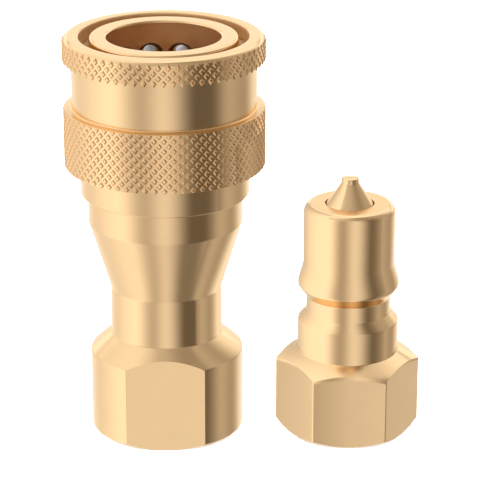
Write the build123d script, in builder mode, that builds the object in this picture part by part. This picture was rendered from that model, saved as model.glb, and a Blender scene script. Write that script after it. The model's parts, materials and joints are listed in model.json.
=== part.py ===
"""Quick coupling of the quarter inch size: a socket and a plug, standing apart on their ports.

The socket's axis is Z and its port face is at Z = 0. The plug stands beside it at +X, nose up,
and its own heights start at its own port face. All sizes are in millimetres.
"""
import math
import os
from build123d import *

os.makedirs("parts", exist_ok=True)

# Ports: G 1/4 female thread, drawn at the crests of the thread
port_radius = 5.72
port_mouth_radius = 6.6
port_mouth_depth = 0.45
bevel_angle = 30

# Plug, outside
plug_offset = 27.6
plug_hex_width = 19.0
plug_hex_height = 11.0
plug_hex_face_radius = 9.1
plug_collar_radius = 7.65
plug_collar_top = 17.7
plug_groove_radius = 6.41
plug_groove_bottom = 19.2
plug_groove_length = 2.4
plug_crest_radius = 7.69
plug_crest_bottom = 23.3
plug_crest_length = 0.7
plug_flare_length = 2.5
plug_nose_radius = 6.92
plug_height = 36.2
plug_nose_rounding = 1.3
plug_port_ledge = 3.4

# Valves, the same in both halves
valve_opening_radius = 3.6
valve_chamber_radius = 5.3
poppet_gap = 0.2
poppet_tip_radius = 1.34
poppet_tip_length = 0.6
poppet_tip_reach = 4.1
poppet_head_radius = 4.4
poppet_head_length = 3.2
poppet_stem_radius = 1.5
poppet_seal_wire = 0.55
poppet_seal_depth = 1.35
poppet_seal_proud = 0.1
valve_spring_length = 13.8
valve_spring_wire = 0.35
valve_spring_radius = 3.1
valve_spring_turns = 7
guide_thickness = 3.0
guide_hub_radius = 4.0
guide_legs = 4
scallop_offset = 0.5
stem_overlap = 0.5
guide_ring_thickness = 0.8
guide_ring_inner_radius = 4.5
guide_ring_groove = 0.6
guide_ring_split = 2.0

# Socket adapter, outside
base_radius = 11.6
base_length = 13.1
base_bevel = 1.55
base_cone_length = 2.9
wrench_width = 20.0
neck_radius = 8.43
neck_length = 7.3
shoulder_length = 10.4
barrel_step = 0.6
barrel_length = 7.8
barrel_edge = 0.3

# Socket adapter, inside
socket_port_depth = 12.5
passage_radius = 5.0
chamber_radius = 6.6
cup_depth = 8.2

# Socket body
front_length = 20.6
spring_guide_step = 0.8
tail_step = 0.4
tail_length = 7.5
seat_drop = 0.5
mouth_length = 9.2
mouth_cone_length = 1.9
mouth_clearance = 0.51
mouth_lead_length = 2.9
mouth_lead_step = 0.2
nose_clearance = 0.13
face_inner_rounding = 0.3
face_outer_bevel = 0.25
nose_seal_wire = 1.2
nose_seal_depth = 2.15
nose_seal_height = 5.0
backup_ring_thickness = 1.4
joint_seal_wire = 0.6
joint_seal_height = 1.6

# Locking balls, 5/32 inch
ball_radius = 1.985
ball_count = 11
ball_depth = 5.3
ball_play = 0.065
ball_mouth_radius = 1.7
ball_lift = 0.05
ball_travel = 0.8
ball_proud = 0.26

# Sleeve, from its rim down
sleeve_wall = 2.49
waist_depth = 1.28
skirt_wall = 0.91
rim_lead = 0.14
upper_band_length = 3.56
waist_length = 7.18
lower_band_length = 8.96
skirt_length = 4.39
rim_rounding = 0.9
band_edge = 0.12
land_above_ball = 0.2
land_below_ball = 4.3
stop_step = 0.4

# Sleeve's spring, washer and snap ring
sleeve_spring_wire = 0.45
sleeve_spring_turns = 5
washer_thickness = 0.8
snap_ring_depth = 2.0
snap_ring_thickness = 0.8
snap_ring_bevel = 0.4
snap_ring_groove = 0.9
snap_ring_split = 3.0

# Clearances
slide_clearance = 0.12
loose_clearance = 0.05
spring_clearance = 0.2

# Plug heights and radii that follow from the above
plug_hex_corner = plug_hex_width / math.sqrt(3)
bevel_slope = math.tan(math.radians(bevel_angle))
plug_collar_bottom = plug_hex_height + (plug_hex_corner - plug_collar_radius) * bevel_slope
plug_groove_top = plug_groove_bottom + plug_groove_length
plug_crest_top = plug_crest_bottom + plug_crest_length
plug_flare_top = plug_crest_top + plug_flare_length

plug_guide_bottom = plug_height - poppet_head_length - valve_spring_length - guide_thickness
guide_ring_bottom = plug_guide_bottom - guide_ring_thickness
guide_ring_groove_radius = valve_chamber_radius + guide_ring_groove
plug_port_depth = guide_ring_bottom - plug_port_ledge

# Valve shapes: the cone of the poppet runs beside the cone of its seat
poppet_cone_length = poppet_tip_reach - poppet_tip_length
seat_slope = (valve_opening_radius - poppet_gap - poppet_tip_radius) / poppet_cone_length
seat_depth = (valve_chamber_radius - valve_opening_radius) / seat_slope
head_depth = (poppet_head_radius - valve_opening_radius + poppet_gap) / seat_slope

# The poppet's seal is sunk square into the cone, and stands a little proud of it
seal_slant = math.atan(seat_slope)
seal_sink = poppet_seal_wire - poppet_seal_proud
seal_surface_radius = valve_opening_radius - poppet_gap + poppet_seal_depth * seat_slope
poppet_seal_radius = seal_surface_radius - seal_sink * math.cos(seal_slant)
poppet_seal_drop = poppet_seal_depth + seal_sink * math.sin(seal_slant)

# Socket heights
neck_bottom = base_length + base_cone_length
neck_top = neck_bottom + neck_length
barrel_bottom = neck_top + shoulder_length
barrel_top = barrel_bottom + barrel_length
cup_bottom = barrel_top - cup_depth
tail_bottom = barrel_top - tail_length
face_z = barrel_top + front_length
seat_z = barrel_top - seat_drop
guide_top = seat_z - poppet_head_length - valve_spring_length
guide_bottom = guide_top - guide_thickness
mouth_bottom = face_z - mouth_length
nose_bore_top = mouth_bottom - mouth_cone_length
nose_seal_bottom = seat_z + nose_seal_height
nose_seal_z = nose_seal_bottom + loose_clearance + nose_seal_wire
backup_ring_bottom = nose_seal_z + nose_seal_wire + loose_clearance
nose_seal_top = backup_ring_bottom + backup_ring_thickness + loose_clearance
joint_seal_z = tail_bottom + joint_seal_height

# Socket radii inside
mouth_radius = plug_crest_radius + mouth_clearance
nose_bore_radius = plug_nose_radius + nose_clearance
mouth_lead_radius = mouth_radius + mouth_lead_step
nose_seal_groove_radius = nose_bore_radius + nose_seal_depth

# Balls: each hole is sunk from outside with a round-nosed cutter and breaks into the mouth
ball_z = face_z - ball_depth
ball_pitch = 360 / ball_count
ball_start = 90 + ball_pitch / 2
ball_hole_radius = ball_radius + ball_play
ball_hole_centre = mouth_radius + math.sqrt(ball_hole_radius**2 - ball_mouth_radius**2)
ball_centre = mouth_radius + math.sqrt(ball_radius**2 - ball_mouth_radius**2) + ball_lift
ball_reach = ball_centre + ball_radius

# Socket radii outside: the balls stand a little proud of the body
body_radius = ball_reach - ball_proud
spring_guide_radius = body_radius - spring_guide_step
tail_radius = spring_guide_radius - tail_step
cup_radius = tail_radius + loose_clearance
barrel_radius = body_radius + barrel_step

# Sleeve heights and radii
rim_z = face_z + rim_lead
waist_top = rim_z - upper_band_length
waist_bottom = waist_top - waist_length
skirt_top = waist_bottom - lower_band_length
skirt_bottom = skirt_top - skirt_length
sleeve_bore_radius = barrel_radius + slide_clearance
land_radius = ball_reach + slide_clearance
release_radius = ball_reach + ball_travel + loose_clearance
recess_radius = release_radius + stop_step
sleeve_radius = recess_radius + sleeve_wall
waist_radius = sleeve_radius - waist_depth
skirt_radius = sleeve_bore_radius + skirt_wall
land_top = ball_z + land_above_ball
ramp_top = land_top + release_radius - land_radius
land_bottom = ball_z - land_below_ball
snap_ring_top = face_z - snap_ring_depth
snap_ring_bottom = snap_ring_top - snap_ring_thickness
snap_ring_inner = body_radius - snap_ring_groove
snap_ring_ledge = snap_ring_top - snap_ring_bevel
washer_bottom = land_bottom - washer_thickness
body_shoulder = land_bottom + slide_clearance

socket_axis = Axis.Z
plug_axis = Axis((plug_offset, 0, 0), (0, 0, 1))
socket_section = Plane.XZ
plug_section = Plane((plug_offset, 0, 0), x_dir=(1, 0, 0), z_dir=(0, -1, 0))


def ring_edges(part, radius, height):
    """The circular edges of a part that have this radius and stand at this height."""
    circles = part.edges().filter_by(GeomType.CIRCLE)
    return circles.filter_by(
        lambda edge: abs(edge.radius - radius) < 0.001 and abs(edge.arc_center.Z - height) < 0.001
    )


def o_ring(section, axis, radius, height, wire):
    """An O-ring: a round section turned about the axis."""
    with BuildPart() as seal:
        with BuildSketch(section):
            with Locations((radius, height)):
                Circle(wire)
        revolve(axis=axis)
    return seal


def flat_ring(section, axis, inner, outer, bottom, top):
    """A flat ring."""
    with BuildPart() as ring:
        with BuildSketch(section):
            with BuildLine():
                Polyline((inner, bottom), (outer, bottom), (outer, top), (inner, top), close=True)
            make_face()
        revolve(axis=axis)
    return ring


def coil_spring(centre, bottom, length, radius, wire, turns):
    """A coil spring about an upright axis at X = centre; wire is the radius of its wire."""
    rise = length - 2 * wire
    with BuildPart() as spring:
        with BuildLine() as path:
            Helix(pitch=rise / turns, height=rise, radius=radius, center=(centre, 0, bottom + wire))
        with BuildSketch(Plane(origin=path.line @ 0, z_dir=path.line % 0)):
            Circle(wire)
        sweep()
    return spring


# Socket adapter: port, wrench flats, neck, cone and the barrel that the body screws into
with BuildPart() as socket_adapter:
    with BuildSketch(socket_section):
        with BuildLine():
            Polyline(
                (port_mouth_radius, 0),
                (base_radius - base_bevel, 0),
                (base_radius, base_bevel * bevel_slope),
                (base_radius, base_length),
                (neck_radius, neck_bottom),
                (neck_radius, neck_top),
                (barrel_radius, barrel_bottom),
                (barrel_radius, barrel_top - barrel_edge),
                (barrel_radius - barrel_edge, barrel_top),
                (cup_radius, barrel_top),
                (cup_radius, cup_bottom),
                (chamber_radius, cup_bottom),
                (chamber_radius, guide_bottom),
                (passage_radius, guide_bottom),
                (passage_radius, socket_port_depth),
                (port_radius, socket_port_depth),
                (port_radius, port_mouth_depth),
                close=True,
            )
        make_face()
    revolve(axis=socket_axis)
    with BuildSketch():
        Circle(base_radius + 1)
        Rectangle(2 * base_radius + 2, wrench_width, mode=Mode.SUBTRACT)
    extrude(amount=neck_bottom, mode=Mode.SUBTRACT)
socket_adapter.part.label = "socket_adapter"
export_step(socket_adapter.part, "parts/socket_adapter.step")

# Socket body: mouth, ball holes, seal groove, valve seat and the threaded tail
with BuildPart() as socket_body:
    with BuildSketch(socket_section):
        with BuildLine():
            Polyline(
                (mouth_lead_radius, face_z),
                (body_radius - face_outer_bevel, face_z),
                (body_radius, face_z - face_outer_bevel),
                (body_radius, snap_ring_ledge + loose_clearance),
                (snap_ring_inner - loose_clearance, snap_ring_ledge + loose_clearance),
                (snap_ring_inner - loose_clearance, snap_ring_bottom - loose_clearance),
                (body_radius, snap_ring_bottom - loose_clearance),
                (body_radius, body_shoulder),
                (spring_guide_radius, body_shoulder),
                (spring_guide_radius, barrel_top),
                (tail_radius, barrel_top),
                (tail_radius, joint_seal_z + joint_seal_wire + loose_clearance),
                (tail_radius - 2 * joint_seal_wire, joint_seal_z + joint_seal_wire + loose_clearance),
                (tail_radius - 2 * joint_seal_wire, joint_seal_z - joint_seal_wire - loose_clearance),
                (tail_radius, joint_seal_z - joint_seal_wire - loose_clearance),
                (tail_radius, tail_bottom),
                (valve_chamber_radius, tail_bottom),
                (valve_chamber_radius, seat_z - seat_depth),
                (valve_opening_radius, seat_z),
                (nose_bore_radius, seat_z),
                (nose_bore_radius, nose_seal_bottom),
                (nose_seal_groove_radius, nose_seal_bottom),
                (nose_seal_groove_radius, nose_seal_top),
                (nose_bore_radius, nose_seal_top),
                (nose_bore_radius, nose_bore_top),
                (mouth_radius, mouth_bottom),
                (mouth_radius, face_z - mouth_lead_length - mouth_lead_step),
                (mouth_lead_radius, face_z - mouth_lead_length),
                close=True,
            )
        make_face()
    revolve(axis=socket_axis)
    fillet(ring_edges(socket_body, mouth_lead_radius, face_z), face_inner_rounding)
    with Locations((0, 0, ball_z)):
        with PolarLocations(ball_hole_centre, ball_count, start_angle=ball_start):
            Sphere(ball_hole_radius, mode=Mode.SUBTRACT)
            Cylinder(
                ball_hole_radius,
                body_radius,
                rotation=(0, 90, 0),
                align=(Align.CENTER, Align.CENTER, Align.MIN),
                mode=Mode.SUBTRACT,
            )
socket_body.part.label = "socket_body"
export_step(socket_body.part, "parts/socket_body.step")

# Locking balls, numbered on from the gap at the back, +Y, towards -X
for number in range(ball_count):
    angle = math.radians(ball_start + number * ball_pitch)
    with BuildPart() as locking_ball:
        with Locations((ball_centre * math.cos(angle), ball_centre * math.sin(angle), ball_z)):
            Sphere(ball_radius)
    locking_ball.part.label = f"locking_ball_{number + 1:02d}"
    export_step(locking_ball.part, f"parts/locking_ball_{number + 1:02d}.step")

# Sleeve: two knurled bands with a waist between them, and a skirt over the barrel
with BuildPart() as sleeve:
    with BuildSketch(socket_section):
        with BuildLine():
            Polyline(
                (recess_radius, rim_z),
                (sleeve_radius, rim_z),
                (sleeve_radius, waist_top + band_edge),
                (sleeve_radius - band_edge, waist_top),
                (waist_radius, waist_top),
                (waist_radius, waist_bottom),
                (sleeve_radius - band_edge, waist_bottom),
                (sleeve_radius, waist_bottom - band_edge),
                (sleeve_radius, skirt_top + band_edge),
                (sleeve_radius - band_edge, skirt_top),
                (skirt_radius, skirt_top),
                (skirt_radius, skirt_bottom),
                (sleeve_bore_radius, skirt_bottom),
                (sleeve_bore_radius, land_bottom),
                (land_radius, land_bottom),
                (land_radius, land_top),
                (release_radius, ramp_top),
                (release_radius, snap_ring_bottom),
                (recess_radius, snap_ring_bottom),
                close=True,
            )
        make_face()
    revolve(axis=socket_axis)
    fillet(ring_edges(sleeve, sleeve_radius, rim_z), rim_rounding)
sleeve.part.label = "sleeve"
export_step(sleeve.part, "parts/sleeve.step")

# Snap ring in the mouth: its inner edge is thinned to fit the groove, and it is split at the back
with BuildPart() as sleeve_retaining_ring:
    with BuildSketch(socket_section):
        with BuildLine():
            Polyline(
                (snap_ring_inner, snap_ring_bottom),
                (recess_radius - slide_clearance, snap_ring_bottom),
                (recess_radius - slide_clearance, snap_ring_top),
                (body_radius + snap_ring_bevel, snap_ring_top),
                (body_radius, snap_ring_ledge),
                (snap_ring_inner, snap_ring_ledge),
                close=True,
            )
        make_face()
    revolve(axis=socket_axis)
    with Locations((0, body_radius, snap_ring_bottom)):
        Box(snap_ring_split, body_radius, 4 * snap_ring_thickness, mode=Mode.SUBTRACT)
sleeve_retaining_ring.part.label = "sleeve_retaining_ring"
export_step(sleeve_retaining_ring.part, "parts/sleeve_retaining_ring.step")

# Plug body: hexagon, collar, ball groove, crest and nose
with BuildPart() as plug_body:
    with BuildSketch(plug_section):
        with BuildLine():
            Polyline(
                (plug_nose_radius, plug_flare_top),
                (plug_nose_radius, plug_height),
                (valve_opening_radius, plug_height),
                (valve_chamber_radius, plug_height - seat_depth),
                (valve_chamber_radius, plug_guide_bottom),
                (guide_ring_groove_radius, plug_guide_bottom),
                (guide_ring_groove_radius, guide_ring_bottom - loose_clearance),
                (valve_chamber_radius, guide_ring_bottom - loose_clearance),
                (valve_chamber_radius, plug_port_depth),
                (port_radius, plug_port_depth),
                (port_radius, port_mouth_depth),
                (port_mouth_radius, 0),
                (plug_hex_face_radius, 0),
                (plug_hex_corner, (plug_hex_corner - plug_hex_face_radius) * bevel_slope),
                (plug_hex_corner, plug_hex_height),
                (plug_collar_radius, plug_collar_bottom),
                (plug_collar_radius, plug_collar_top),
                (plug_groove_radius, plug_groove_bottom),
                (plug_groove_radius, plug_groove_top),
                (plug_crest_radius, plug_crest_bottom),
                (plug_crest_radius, plug_crest_top),
            )
            Bezier(
                (plug_crest_radius, plug_crest_top),
                (plug_crest_radius, plug_crest_top + plug_flare_length / 2),
                (plug_nose_radius, plug_flare_top - plug_flare_length / 2),
                (plug_nose_radius, plug_flare_top),
            )
        make_face()
    revolve(axis=plug_axis)
    fillet(ring_edges(plug_body, plug_nose_radius, plug_height), plug_nose_rounding)
    with BuildSketch():
        with Locations((plug_offset, 0)):
            RegularPolygon(plug_hex_width / 2, 6, major_radius=False)
    extrude(amount=plug_height, mode=Mode.INTERSECT)
plug_body.part.label = "plug_body"
export_step(plug_body.part, "parts/plug_body.step")

# Valves: each half has a poppet, its seal, its spring and the star that guides its stem
for half, centre, seat, chamber in (
    ("socket", 0, seat_z, chamber_radius),
    ("plug", plug_offset, plug_height, valve_chamber_radius),
):
    section = Plane((centre, 0, 0), x_dir=(1, 0, 0), z_dir=(0, -1, 0))
    axis = Axis((centre, 0, 0), (0, 0, 1))
    head_bottom = seat - poppet_head_length
    spring_bottom = head_bottom - valve_spring_length
    star_bottom = spring_bottom - guide_thickness
    star_radius = chamber - loose_clearance

    with BuildPart() as poppet:
        with BuildSketch(section):
            with BuildLine():
                Polyline(
                    (0, seat + poppet_tip_reach),
                    (poppet_tip_radius, seat + poppet_tip_reach),
                    (poppet_tip_radius, seat + poppet_tip_reach - poppet_tip_length),
                    (poppet_head_radius, seat - head_depth),
                    (poppet_head_radius, head_bottom),
                    (poppet_stem_radius, head_bottom),
                    (poppet_stem_radius, star_bottom + stem_overlap),
                    (0, star_bottom + stem_overlap),
                    close=True,
                )
            make_face()
            with Locations((poppet_seal_radius, seat - poppet_seal_drop)):
                Circle(poppet_seal_wire + loose_clearance, mode=Mode.SUBTRACT)
        revolve(axis=axis)
    poppet.part.label = f"{half}_poppet"
    export_step(poppet.part, f"parts/{half}_poppet.step")

    poppet_seal = o_ring(section, axis, poppet_seal_radius, seat - poppet_seal_drop, poppet_seal_wire)
    poppet_seal.part.label = f"{half}_poppet_seal"
    export_step(poppet_seal.part, f"parts/{half}_poppet_seal.step")

    valve_spring = coil_spring(
        centre, spring_bottom, valve_spring_length, valve_spring_radius, valve_spring_wire, valve_spring_turns
    )
    valve_spring.part.label = f"{half}_valve_spring"
    export_step(valve_spring.part, f"parts/{half}_valve_spring.step")

    with BuildPart() as valve_guide:
        with BuildSketch(Plane((centre, 0, star_bottom))):
            Circle(star_radius)
            Circle(poppet_stem_radius + slide_clearance, mode=Mode.SUBTRACT)
            with PolarLocations(star_radius + scallop_offset, guide_legs, start_angle=180 / guide_legs):
                Circle(star_radius + scallop_offset - guide_hub_radius, mode=Mode.SUBTRACT)
        extrude(amount=guide_thickness)
    valve_guide.part.label = f"{half}_valve_guide"
    export_step(valve_guide.part, f"parts/{half}_valve_guide.step")

# Snap ring under the plug's guide, split at the back
plug_guide_ring = flat_ring(
    plug_section,
    plug_axis,
    guide_ring_inner_radius,
    guide_ring_groove_radius - loose_clearance,
    guide_ring_bottom,
    plug_guide_bottom,
)
with plug_guide_ring:
    with Locations((plug_offset, valve_chamber_radius, guide_ring_bottom)):
        Box(guide_ring_split, valve_chamber_radius, 4 * guide_ring_thickness, mode=Mode.SUBTRACT)
plug_guide_ring.part.label = "plug_guide_ring"
export_step(plug_guide_ring.part, "parts/plug_guide_ring.step")

# Seals of the socket body
socket_nose_seal = o_ring(
    socket_section,
    socket_axis,
    nose_seal_groove_radius - loose_clearance - nose_seal_wire,
    nose_seal_z,
    nose_seal_wire,
)
socket_nose_seal.part.label = "socket_nose_seal"
export_step(socket_nose_seal.part, "parts/socket_nose_seal.step")

socket_backup_ring = flat_ring(
    socket_section,
    socket_axis,
    nose_bore_radius + loose_clearance,
    nose_seal_groove_radius - loose_clearance,
    backup_ring_bottom,
    backup_ring_bottom + backup_ring_thickness,
)
socket_backup_ring.part.label = "socket_backup_ring"
export_step(socket_backup_ring.part, "parts/socket_backup_ring.step")

body_joint_seal = o_ring(
    socket_section, socket_axis, tail_radius - joint_seal_wire, joint_seal_z, joint_seal_wire
)
body_joint_seal.part.label = "body_joint_seal"
export_step(body_joint_seal.part, "parts/body_joint_seal.step")

# Sleeve's spring, between the barrel's end and the washer under the sleeve's shoulder
sleeve_spring_washer = flat_ring(
    socket_section,
    socket_axis,
    spring_guide_radius + spring_clearance,
    sleeve_bore_radius - slide_clearance,
    washer_bottom,
    land_bottom,
)
sleeve_spring_washer.part.label = "sleeve_spring_washer"
export_step(sleeve_spring_washer.part, "parts/sleeve_spring_washer.step")

sleeve_spring = coil_spring(
    0,
    barrel_top,
    washer_bottom - barrel_top,
    (spring_guide_radius + sleeve_bore_radius) / 2,
    sleeve_spring_wire,
    sleeve_spring_turns,
)
sleeve_spring.part.label = "sleeve_spring"
export_step(sleeve_spring.part, "parts/sleeve_spring.step")
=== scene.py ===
"""Dresses the quick coupling: the knurled socket and its hexagon plug, in brass, on a pale floor.

Lengths in the classes are in millimetres, as a turner's drawing gives them, and every mesh is
made in metres. The socket's axis is Z, and the plug stands beside it at +X.
"""
from __future__ import annotations

import json
import logging
import math
from dataclasses import dataclass, field, replace
from enum import Enum
from typing import Callable, Sequence

import bmesh
import bpy
from bpy.types import Material, Modifier, Node, NodeSocket, NodeTree, Object
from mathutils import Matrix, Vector

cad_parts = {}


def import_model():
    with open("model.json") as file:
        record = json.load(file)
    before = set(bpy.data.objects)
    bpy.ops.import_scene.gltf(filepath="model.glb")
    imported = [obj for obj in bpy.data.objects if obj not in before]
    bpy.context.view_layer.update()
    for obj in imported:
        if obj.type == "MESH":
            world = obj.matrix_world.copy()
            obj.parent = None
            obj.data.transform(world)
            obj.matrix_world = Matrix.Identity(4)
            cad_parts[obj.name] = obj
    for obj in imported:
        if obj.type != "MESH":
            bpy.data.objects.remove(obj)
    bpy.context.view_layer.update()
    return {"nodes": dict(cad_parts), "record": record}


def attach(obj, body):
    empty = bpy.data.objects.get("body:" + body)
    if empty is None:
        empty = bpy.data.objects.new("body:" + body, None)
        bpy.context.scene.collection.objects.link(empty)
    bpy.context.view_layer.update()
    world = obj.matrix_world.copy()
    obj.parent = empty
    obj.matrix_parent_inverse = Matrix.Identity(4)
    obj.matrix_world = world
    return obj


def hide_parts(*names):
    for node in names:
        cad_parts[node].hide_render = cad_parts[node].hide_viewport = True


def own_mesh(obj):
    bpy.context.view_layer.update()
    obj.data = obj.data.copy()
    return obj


LOG = logging.getLogger("coupling")
MM = 0.001
SOCKET_AXIS = 0.0
PLUG_AXIS = 27.6
DOUBLES = 0.0000008
SAME_PLACE = 0.000002


class Slot(Enum):
    """The record's material slots."""

    BRASS = "brass_turned"
    KNURL = "brass_knurled"
    BALL = "ball_steel"
    SPRING = "spring_steel"
    SEAL = "seal_rubber"
    BACKUP = "backup_plastic"


class Cut(Enum):
    """What a second shape does to the first."""

    AWAY = "DIFFERENCE"
    COMMON = "INTERSECT"


@dataclass(frozen=True)
class Corner:
    """A corner of a turned section.

    Radius and height are its place, and rounding is the size of the broken edge there.
    """

    radius: float
    height: float
    rounding: float = 0.0
    steps: int = 3


def deselect_all() -> None:
    """Leaves object mode ready, with nothing selected."""
    if bpy.context.object is not None and bpy.context.object.mode != "OBJECT":
        bpy.ops.object.mode_set(mode="OBJECT")
    bpy.ops.object.select_all(action="DESELECT")


def take(piece: Object) -> None:
    """Makes one object the only selected one, and the active one."""
    deselect_all()
    piece.select_set(True)
    bpy.context.view_layer.objects.active = piece


def open_mesh(piece: Object, action: str = "DESELECT") -> None:
    """Opens one object in edit mode, with nothing selected unless the action says otherwise."""
    take(piece)
    bpy.ops.object.mode_set(mode="EDIT")
    bpy.ops.mesh.select_mode(type="VERT")
    bpy.ops.mesh.select_all(action=action)


def pick_points(piece: Object, wanted: Callable[[Vector], bool]) -> None:
    """Selects the vertices of the open mesh that are wanted.

    Args:
        piece: the object that is open in edit mode.
        wanted: says of a place whether its vertex is selected.
    """
    mesh = bmesh.from_edit_mesh(piece.data)
    for vertex in mesh.verts:
        vertex.select_set(wanted(vertex.co))
    mesh.select_flush_mode()
    bmesh.update_edit_mesh(piece.data)


def close_mesh() -> None:
    """Merges doubles, turns the faces outwards and leaves edit mode."""
    bpy.ops.mesh.select_all(action="SELECT")
    bpy.ops.mesh.remove_doubles(threshold=DOUBLES)
    bpy.ops.mesh.normals_make_consistent(inside=False)
    bpy.ops.object.mode_set(mode="OBJECT")


def settle(name: str) -> Object:
    """Names the object that was just added, and applies its place, turn and size.

    Args:
        name: the object's name.

    Returns:
        The object.
    """
    made = bpy.context.object
    made.name = name
    bpy.ops.object.transform_apply(location=True, rotation=True, scale=True)
    return made


def apply_modifier(piece: Object, modifier: Modifier) -> None:
    """Applies one modifier to its object."""
    take(piece)
    bpy.ops.object.modifier_apply(modifier=modifier.name)


def combine(piece: Object, tool: Object, how: Cut) -> None:
    """Cuts a piece with a second shape, which is used up.

    Args:
        piece: the object that is kept.
        tool: the shape that cuts it.
        how: whether the tool's shape is taken away, or what both share is kept.
    """
    modifier = piece.modifiers.new("Cut", "BOOLEAN")
    modifier.operation = how.value
    modifier.solver = "EXACT"
    modifier.object = tool
    apply_modifier(piece, modifier)
    bpy.data.objects.remove(tool, do_unlink=True)


def smooth(piece: Object, angle: float = 32.0) -> None:
    """Shades a finished piece smooth up to an angle, and lets its large faces lead the shading.

    Args:
        piece: the finished object.
        angle: the sharpest bend, in degrees, that is still shaded smooth.
    """
    take(piece)
    bpy.ops.object.shade_smooth_by_angle(angle=math.radians(angle))
    modifier = piece.modifiers.new("Shading", "WEIGHTED_NORMAL")
    modifier.keep_sharp = True
    apply_modifier(piece, modifier)


def turn_section(
    name: str, axis: float, corners: Sequence[Corner], steps: int = 128, closed: bool = True
) -> Object:
    """Turns a section about an upright axis, as on a lathe.

    Args:
        name: the new object's name.
        axis: the X of the axis.
        corners: the section's corners, in order.
        steps: how many steps the turn has.
        closed: whether the section's last corner joins its first.

    Returns:
        The turned object.
    """
    deselect_all()
    first = corners[0]
    start = Vector(((axis + first.radius) * MM, 0.0, first.height * MM))
    bpy.ops.mesh.primitive_plane_add(size=MM, location=start)
    piece = settle(name)
    bpy.ops.object.mode_set(mode="EDIT")
    bpy.ops.mesh.select_mode(type="VERT")
    bpy.ops.mesh.select_all(action="SELECT")
    bpy.ops.mesh.merge(type="CENTER")
    here = first
    path = list(corners[1:]) + ([first] if closed else [])
    for corner in path:
        step = ((corner.radius - here.radius) * MM, 0.0, (corner.height - here.height) * MM)
        bpy.ops.mesh.extrude_region_move(TRANSFORM_OT_translate={"value": step})
        here = corner
    bpy.ops.mesh.select_all(action="SELECT")
    bpy.ops.mesh.remove_doubles(threshold=DOUBLES)
    for corner in corners:
        if corner.rounding > 0.0:
            spot = Vector(((axis + corner.radius) * MM, 0.0, corner.height * MM))
            pick_points(piece, lambda place: (place - spot).length < SAME_PLACE)
            bpy.ops.mesh.bevel(
                offset=corner.rounding * MM, segments=corner.steps, profile=0.5, affect="VERTICES"
            )
    bpy.ops.mesh.select_all(action="SELECT")
    bpy.ops.mesh.spin(
        steps=steps, angle=2.0 * math.pi, center=(axis * MM, 0.0, 0.0), axis=(0.0, 0.0, 1.0)
    )
    close_mesh()
    return piece


def block(name: str, low: Sequence[float], high: Sequence[float]) -> Object:
    """A rectangular cutter between two corners, in millimetres.

    Args:
        name: the cutter's name.
        low: its lowest corner.
        high: its highest corner.

    Returns:
        The cutter.
    """
    deselect_all()
    centre = [(a + b) / 2.0 * MM for a, b in zip(low, high)]
    scale = [(b - a) * MM for a, b in zip(low, high)]
    bpy.ops.mesh.primitive_cube_add(size=1.0, location=centre, scale=scale)
    return settle(name)


@dataclass
class Thread:
    """A pipe thread cut into a port, seen as its grooves."""

    crest: float = 5.72
    root: float = 6.58
    pitch: float = 1.337
    flat: float = 0.16
    plain: float = 0.9
    mouth_rise: float = 0.45

    def corners(self, top: float) -> list[Corner]:
        """The port's wall from its top down to the chamfer of its mouth.

        Args:
            top: where the port ends inside.

        Returns:
            The corners of the wall and its grooves.
        """
        turns = int((top - self.mouth_rise - self.plain) / self.pitch)
        made = [Corner(self.crest, top)]
        for turn in range(turns, 0, -1):
            height = self.mouth_rise + turn * self.pitch
            made.append(Corner(self.crest, height))
            made.append(Corner(self.root, height - self.pitch / 2.0 + self.flat / 2.0))
            made.append(Corner(self.root, height - self.pitch / 2.0 - self.flat / 2.0))
            made.append(Corner(self.crest, height - self.pitch + self.flat))
        made.append(Corner(self.crest, self.mouth_rise))
        return made


@dataclass
class SocketAdapter:
    """The socket's lower part: wrench flats, neck, cone and the barrel under the sleeve."""

    node: str = "socket_adapter"
    base: float = 11.6
    base_top: float = 13.1
    foot: float = 10.05
    foot_rise: float = 0.895
    neck: float = 8.43
    neck_bottom: float = 16.0
    neck_top: float = 23.3
    barrel: float = 11.6
    barrel_bottom: float = 33.7
    barrel_top: float = 41.5
    cup: float = 9.85
    cup_bottom: float = 33.3
    chamber: float = 6.6
    chamber_bottom: float = 21.0
    passage: float = 5.0
    port_top: float = 12.5
    port_mouth: float = 6.6
    flat_width: float = 20.0
    edge: float = 0.12
    soft_edge: float = 0.15
    thread: Thread = field(default_factory=Thread)

    def build(self) -> Object:
        """Turns the adapter and mills its two flats.

        Returns:
            The finished adapter.
        """
        outside = [
            Corner(self.port_mouth, 0.0, self.edge),
            Corner(self.foot, 0.0, self.edge),
            Corner(self.base, self.foot_rise, self.edge),
            Corner(self.base, self.base_top, self.edge * 2),
            Corner(self.neck, self.neck_bottom, self.soft_edge),
            Corner(self.neck, self.neck_top, self.soft_edge),
            Corner(self.barrel, self.barrel_bottom, self.soft_edge),
            Corner(self.barrel, self.barrel_top, 0.3, 4),
        ]
        inside = [
            Corner(self.cup, self.barrel_top, self.edge),
            Corner(self.cup, self.cup_bottom),
            Corner(self.chamber, self.cup_bottom),
            Corner(self.chamber, self.chamber_bottom),
            Corner(self.passage, self.chamber_bottom),
            Corner(self.passage, self.port_top),
        ]
        port = self.thread.corners(self.port_top)
        piece = turn_section("adapter", SOCKET_AXIS, outside + inside + port)
        side = self.flat_width / 2.0
        reach = self.base + 2.0
        for near, far in ((-reach, -side), (side, reach)):
            cutter = block("flat_cutter", (-reach, near, -1.0), (reach, far, self.neck_bottom))
            combine(piece, cutter, Cut.AWAY)
        smooth(piece)
        return piece


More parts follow.
